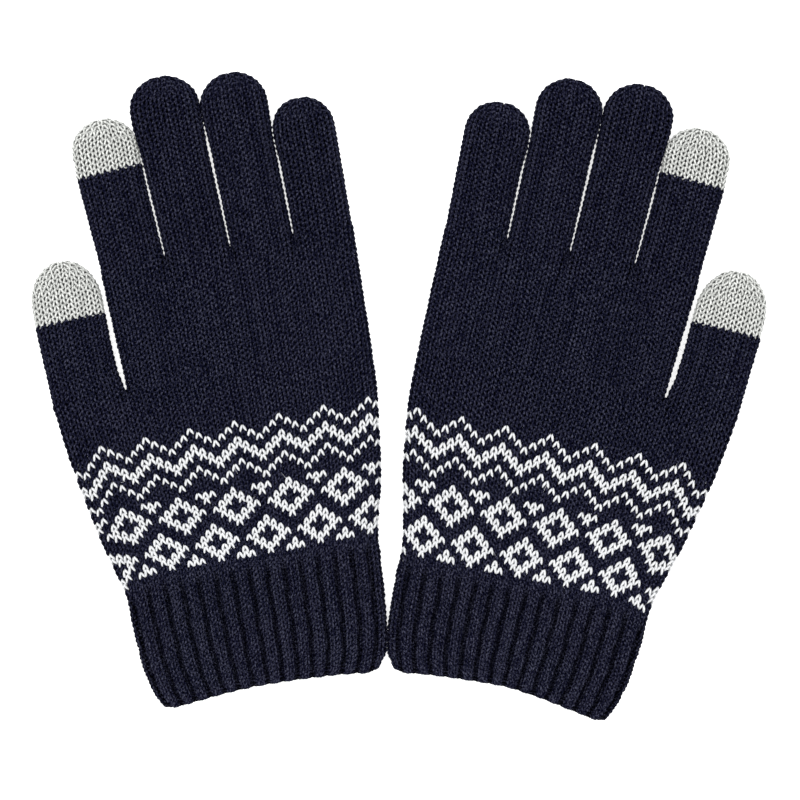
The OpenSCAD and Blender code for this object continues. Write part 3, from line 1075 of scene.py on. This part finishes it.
class Glove:
    """One glove: its cloths, and the pieces knitted on them."""

    def __init__(self, place: Placing, seed: int) -> None:
        """Lay out the cloths.

        Args:
            place: Where the glove lies.
            seed: Fixes the yarn's small unevenness.
        """
        self.place = place
        self.side = place.side.value
        self.rings = RingMaker(place)
        self.knitter = Knitter(Stitch(), seed)
        self.contrast = Knitter(
            Stitch(radius=0.43, depth=0.50, neck=0.25, unevenness=1.6), seed + 1)
        self.cuff_knitter = Knitter(Stitch(radius=0.50, depth=0.38), seed + 2)
        self.touch_knitter = Knitter(Stitch(radius=0.41, neck=0.24, height=1.3), seed + 3)
        self.hand = self._hand_cloth()
        self.palm = self._palm_cloth()
        self.stalls = {shape.name: self._finger_cloth(shape) for shape in (THUMB, *FINGERS)}
        share = self.palm.girth(THUMB_ROOT) / self.hand.girth(THUMB_ROOT - THUMB_PARTING)
        self.palm_wales = 2 * round(HAND_WALES * share / 2)
        self.palm_phase = self._phase(
            self.palm, self.palm_wales, THUMB_ROOT, self.hand, HAND_WALES, 0.0)

    def _hand_cloth(self) -> Cloth:
        """The tube of the cuff, the band and the hand below the thumb."""
        levels = np.arange(HEM - SPARE, THUMB_ROOT + SPARE, RING_STEP)
        palm = (PALM_EDGE.reach[0], LITTLE_EDGE.reach[-2] + self.place.wider)
        spans = ((THUMB.left_root, THUMB.right_root), palm)
        rings = []
        for v in levels:
            split = self._split(v, THUMB_ROOT, THUMB_PARTING)
            at = float(self.place.slipped(v))
            rings.append(self.rings.ring(
                float(THUMB_EDGE.at(at)), self.place.little_edge(at), HALF, at, spans, split))
        return self.rings.cloth(levels, rings)

    @staticmethod
    def _split(level: float, root: float, length: float) -> float:
        """How far a tube has parted on the last stretch below the root of narrower tubes."""
        return float(smooth((level - (root - length)) / length)) ** 1.5

    def _palm_cloth(self) -> Cloth:
        """The tube of the hand between the thumb and the fingers."""
        levels = np.arange(THUMB_ROOT - SPARE, FINGER_ROOT + SPARE, RING_STEP)
        spans = tuple((f.left_root, f.right_root + (self.place.wider if f is LITTLE else 0))
                      for f in FINGERS)
        rings = []
        for v in levels:
            split = self._split(v, FINGER_ROOT, FINGER_PARTING)
            rings.append(self.rings.ring(
                float(PALM_EDGE.at(v)), self.place.little_edge(v), HALF, v, spans, split))
        return self.rings.cloth(levels, rings)

    def _finger_cloth(self, shape: FingerShape) -> Cloth:
        """The tube of one finger or of the thumb, up to its closed tip.

        Args:
            shape: The finger.

        Returns:
            Its cloth.
        """
        round_start = shape.top - shape.rounding
        rise = 1 - np.geomspace(1, TIP_HOLE, TIP_RINGS)
        levels = np.concatenate([
            np.arange(shape.root - SPARE, round_start, RING_STEP),
            round_start + rise * (shape.end - round_start),
        ])
        rings = []
        for v in levels:
            left, right, half = shape.edges(v)
            if shape is LITTLE:
                right += self.place.wider * min(1.0, (right - left) / 12)
            rings.append(self.rings.ring(left, right, half, v))
        return self.rings.cloth(levels, rings, tilt=shape.tilt,
                                tilt_levels=(shape.root, round_start - 6))

    def _finger_levels(self, cloth: Cloth, shape: FingerShape) -> list[float]:
        """Levels of a finger's courses: evenly spaced over the fabric, round tip included.

        Args:
            cloth: The finger's cloth.
            shape: The finger.

        Returns:
            The level of each course.
        """
        middle = cloth.points[:, 0]
        edge = cloth.points[:, cloth.points.shape[1] // 4]
        steps = [np.linalg.norm(np.diff(line, axis=0), axis=-1) for line in (middle, edge)]
        run = np.concatenate([[0], np.cumsum(0.6 * steps[0] + 0.4 * steps[1])])
        first = FIRST_ROW + ROW * math.ceil((shape.root - FIRST_ROW) / ROW)
        at = float(np.interp(first, cloth.levels, run))
        count = int((run[-1] - at) / ROW)
        spacing = (run[-1] - at) / (count + 0.55)
        return [float(np.interp(at + k * spacing, run, cloth.levels)) for k in range(count + 1)]

    def _phase(self, cloth: Cloth, wales: int, level: float, near: Cloth, near_wales: int,
               near_phase: float) -> float:
        """Phase that lines a cloth's wales up with those of the cloth below it.

        Args:
            cloth: The cloth.
            wales: Its wales.
            level: Level where the two join.
            near: The cloth below it.
            near_wales: That one's wales.
            near_phase: That one's phase.

        Returns:
            The phase, as a share of a turn.
        """
        u = float(cloth.look(cloth.points, np.array([level]), np.array([0.0]))[0, 0])
        share = near.share_at(level, u)
        wale = math.floor((share - near_phase) * near_wales)
        centre = (wale + 0.5) / near_wales + near_phase
        target = float(near.look(near.points, np.array([level]), np.array([centre]))[0, 0])
        return cloth.share_at(level, target) - 0.5 / wales

    def _keep(self, thing: bpy.types.Object, slot: str, *nodes: str) -> bpy.types.Object:
        """Hide the CAD parts that a piece stands for, log its faces and hand the piece back."""
        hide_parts(*nodes)
        LOG.info("%s: %d faces", thing.name, len(thing.data.polygons))
        return thing

    def knit_cuff(self) -> None:
        """Knit the ribbed cuff, its rolled edge and the threads inside it."""
        ribbing = Ribbing()
        rib = YarnMesh(f"{self.side}_knitted_cuff", self.place, NAVY_FLANK_SHADE)
        hem = YarnMesh(f"{self.side}_cast_off_edge", self.place, NAVY_FLANK_SHADE)
        level = FIRST_ROW - ROW * BAND_ROWS
        while level > HEM_MIDDLE + 0.4:
            self.cuff_knitter.course(rib, self.hand, Course(level, CUFF_WALES), ribbing=ribbing)
            level -= ROW
        rib.shaded_backing(self.hand, HEM_MIDDLE + 0.5, BAND_START, SHADED_BACKING_DEPTH, ribbing=ribbing)
        for degrees in HEM_ROLL:
            angle = math.radians(degrees)
            row = Course(HEM_MIDDLE - HEM_RADIUS * math.sin(angle), CUFF_WALES,
                         lift=HEM_RADIUS * (math.cos(angle) - 1), roll=angle, shrink=0.85)
            self.cuff_knitter.course(hem, self.hand, row, ribbing=ribbing)
        elastic = YarnMesh(f"{self.side}_elastic_threads", self.place)
        pitch = (BAND_START - HEM - 3) / (ELASTIC_THREADS + 1)
        for k in range(1, ELASTIC_THREADS + 1):
            self.knitter.thread(elastic, self.hand, HEM + 3 + k * pitch, sink=1.95, radius=0.25)
        rib.fuzz(600, seed=5)
        hem.fuzz(120, seed=6)
        for mesh, slot, finish, node in (
            (rib, "rib_yarn", RIB_YARN, "cuff_rib"), (hem, "rib_yarn", RIB_YARN, "cuff_hem"),
            (elastic, "elastic", RUBBER, "cuff_elastic"),
        ):
            piece = self._keep(mesh.build(finish), slot, f"{self.side}_{node}")
            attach(piece, f"{self.side}_hand")

    def knit_band(self) -> None:
        """Knit the patterned band in two yarns."""
        chart = PatternChart()
        navy = YarnMesh(f"{self.side}_knitted_band", self.place, NAVY_FLANK_SHADE)
        white = YarnMesh(f"{self.side}_contrast_stitches", self.place, WHITE_FLANK_SHADE)
        for row in range(-1, BAND_ROWS):
            picks = chart.course(row, self.place.side)
            course = Course(FIRST_ROW - ROW * row, HAND_WALES)
            if not picks.any():
                self.knitter.course(navy, self.hand, course)
                continue
            self.knitter.course(navy, self.hand, course, held=~picks)
            self.contrast.course(white, self.hand, course, held=picks)
        navy.shaded_backing(self.hand, BAND_START, BAND_END, 0.85)
        navy.fuzz(500, seed=7)
        white.fuzz(500, seed=8)
        for mesh, slot, finish, node in (
            (navy, "hand_yarn", HAND_YARN, "pattern_band"),
            (white, "contrast_yarn", WHITE_YARN, "contrast_yarn"),
        ):
            piece = self._keep(mesh.build(finish), slot, f"{self.side}_{node}")
            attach(piece, f"{self.side}_hand")

    def knit_palm(self) -> None:
        """Knit the hand below the thumb and between the thumb and the fingers."""
        lower = YarnMesh(f"{self.side}_knitted_hand", self.place, NAVY_FLANK_SHADE)
        upper = YarnMesh(f"{self.side}_knitted_palm", self.place, NAVY_FLANK_SHADE)
        level = FIRST_ROW + 2 * ROW
        while level < THUMB_ROOT - 0.5:
            self.knitter.course(lower, self.hand, Course(level, HAND_WALES))
            level += ROW
        lower.shaded_backing(self.hand, BAND_END, THUMB_ROOT, SHADED_BACKING_DEPTH)
        while level < FINGER_ROOT:
            course = Course(level, self.palm_wales, self.palm_phase)
            self.knitter.course(upper, self.palm, course)
            level += ROW
        upper.shaded_backing(self.palm, THUMB_ROOT, FINGER_ROOT, SHADED_BACKING_DEPTH)
        lower.fuzz(300, seed=9)
        upper.fuzz(700, seed=10)
        for mesh, node in ((lower, "five_finger_body"), (upper, "four_finger_body")):
            piece = self._keep(mesh.build(HAND_YARN), "hand_yarn", f"{self.side}_{node}")
            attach(piece, f"{self.side}_hand")

    def knit_finger(self, shape: FingerShape) -> None:
        """Knit a finger or the thumb, with its touch tip where it has one.

        Args:
            shape: The finger.
        """
        cloth = self.stalls[shape.name]
        stall = YarnMesh(f"{self.side}_knitted_{shape.name}", self.place, NAVY_FLANK_SHADE)
        tip = YarnMesh(f"{self.side}_knitted_{shape.name}_tip", self.place, TOUCH_FLANK_SHADE)
        levels = self._finger_levels(cloth, shape)
        full_girth = cloth.girth(shape.root + shape.even_after)
        full = 2 * round(full_girth / shape.wale_width / 2)
        if shape is THUMB:
            below = (self.hand, HAND_WALES, 0.0)
        else:
            below = (self.palm, self.palm_wales, self.palm_phase)
        phase = self._phase(cloth, full, shape.root, *below)
        gaps = [ROW, *np.diff(levels)]
        for level, gap in zip(levels, gaps):
            share = cloth.girth(level) / full_girth
            touch = bool(shape.touch) and level > shape.touch
            most = full + shape.touch_extra if touch else full
            wales = most if share > 0.97 else max(shape.last_wales, 2 * round(most * share / 2))
            row = Course(level, wales, phase if wales == full else 0.0,
                         shrink=min(1.0, max(gap / ROW, 0.45)))
            if touch:
                self.touch_knitter.course(tip, cloth, row)
            else:
                self.knitter.course(stall, cloth, row)
        stall.fuzz(350, seed=12)
        if shape.touch:
            tip.fuzz(120, seed=13)
        end = shape.end - 0.15
        body = f"{self.side}_{shape.name}"
        if shape.touch:
            stall.shaded_backing(cloth, shape.root, shape.touch, SHADED_BACKING_DEPTH)
            # painted shade: the touch tip's inner backing is painted dark grey, as if in shadow
            tip.shaded_backing(cloth, shape.touch, end, 1.0, closed=True, shade=0.2)
            piece = self._keep(tip.build(TOUCH_YARN), "touch_yarn", f"{body}_touch_tip")
            middle = (shape.left_wide + shape.right_wide) / 2
            self.place.spot(middle, shape.touch)
            self.place.spot(middle, shape.touch + TIP_BEND)
            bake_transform(piece)
        else:
            stall.shaded_backing(cloth, shape.root, end, SHADED_BACKING_DEPTH, closed=True)
        piece = self._keep(stall.build(HAND_YARN), "hand_yarn", f"{body}_stall")
        middle = (shape.left_root + shape.right_root) / 2
        self.place.spot(middle, shape.root)
        self.place.spot(middle, shape.root + ROOT_BEND)
        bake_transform(piece)

    def build(self) -> None:
        """Knit the whole glove."""
        self.knit_cuff()
        self.knit_band()
        self.knit_palm()
        for shape in (THUMB, *FINGERS):
            self.knit_finger(shape)


@dataclass(frozen=True)
class Studio:
    """Pale floor, soft light and a camera straight above."""

    view_width: float = 0.2688
    focal: float = 180.0
    sensor: float = 36.0
    centre: tuple[float, float] = (0.0003, -0.0016)
    height: float = 0.0043  # of the gloves' middle, which the view's width is measured at
    floor_size: float = 6.0
    floor_glow: float = 0.75
    daylight: float = 1.15
    lamps: tuple[tuple[str, tuple[float, float, float], float, float], ...] = (
        ("key", (-0.55, 0.75, 1.3), 0.9, 10.5), ("fill", (0.7, -0.3, 1.5), 1.2, 5.5),
    )                       # name, place, size and power of each

    def floor(self) -> None:
        """A plain pale floor that gives off a little light, so that narrow gaps aren't black."""
        n = Nodes("floor_white")
        n.shader.inputs["Base Color"].default_value = (0.8, 0.8, 0.8, 1)
        n.shader.inputs["Roughness"].default_value = 0.9
        n.shader.inputs["Emission Color"].default_value = (1, 1, 1, 1)
        n.shader.inputs["Emission Strength"].default_value = self.floor_glow
        half = self.floor_size / 2
        mesh = bpy.data.meshes.new("floor")
        mesh.from_pydata([(-half, -half, 0), (half, -half, 0), (half, half, 0), (-half, half, 0)],
                         [], [(0, 1, 2, 3)])
        mesh.materials.append(n.material)
        thing = bpy.data.objects.new("floor", mesh)
        thing.location = (0, 0, -0.00005)
        bpy.context.scene.collection.objects.link(thing)

    def lights(self) -> None:
        """Even light from all round, and a large soft lamp from the upper left."""
        world = bpy.data.worlds.new("studio")
        bpy.context.scene.world = world
        world.use_nodes = True
        back = world.node_tree.nodes["Background"]
        back.inputs["Color"].default_value = (1, 1, 1, 1)
        back.inputs["Strength"].default_value = self.daylight
        for name, spot, size, power in self.lamps:
            lamp = bpy.data.lights.new(name, "AREA")
            lamp.size = size
            lamp.energy = power
            thing = bpy.data.objects.new(name, lamp)
            thing.location = spot
            aim = Vector((0, 0, 0)) - Vector(spot)
            thing.rotation_euler = aim.to_track_quat("-Z", "Y").to_euler()
            bpy.context.scene.collection.objects.link(thing)

    def camera(self) -> None:
        """A long lens straight above the pair."""
        data = bpy.data.cameras.new("camera")
        data.lens = self.focal
        data.sensor_width = self.sensor
        data.clip_end = 20
        thing = bpy.data.objects.new("camera", data)
        away = self.view_width * self.focal / self.sensor
        thing.location = (*self.centre, self.height + away)
        bpy.context.scene.collection.objects.link(thing)
        bpy.context.scene.camera = thing
        bpy.context.scene.view_settings.view_transform = "Standard"

    def build(self) -> None:
        """Set up the whole studio."""
        self.camera()
        self.floor()
        self.lights()


def save_sizes() -> None:
    """Bring the view layer up to date.
    """
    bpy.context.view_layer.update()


def main() -> None:
    """Set the studio up and knit both gloves."""
    logging.basicConfig(level=logging.INFO, format="%(message)s")
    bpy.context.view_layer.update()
    Studio().build()
    for place, seed in (
        (Placing(Side.LEFT, -55.6, -35.2, 10.3, 0.0, 0.0), 11),
        (Placing(Side.RIGHT, 54.4, -37.4, -11.5, 0.043, 3.4, slip=6.8, wider=1.0), 29),
    ):
        Glove(place, seed).build()
    save_sizes()


if __name__ == "__main__":
    main()
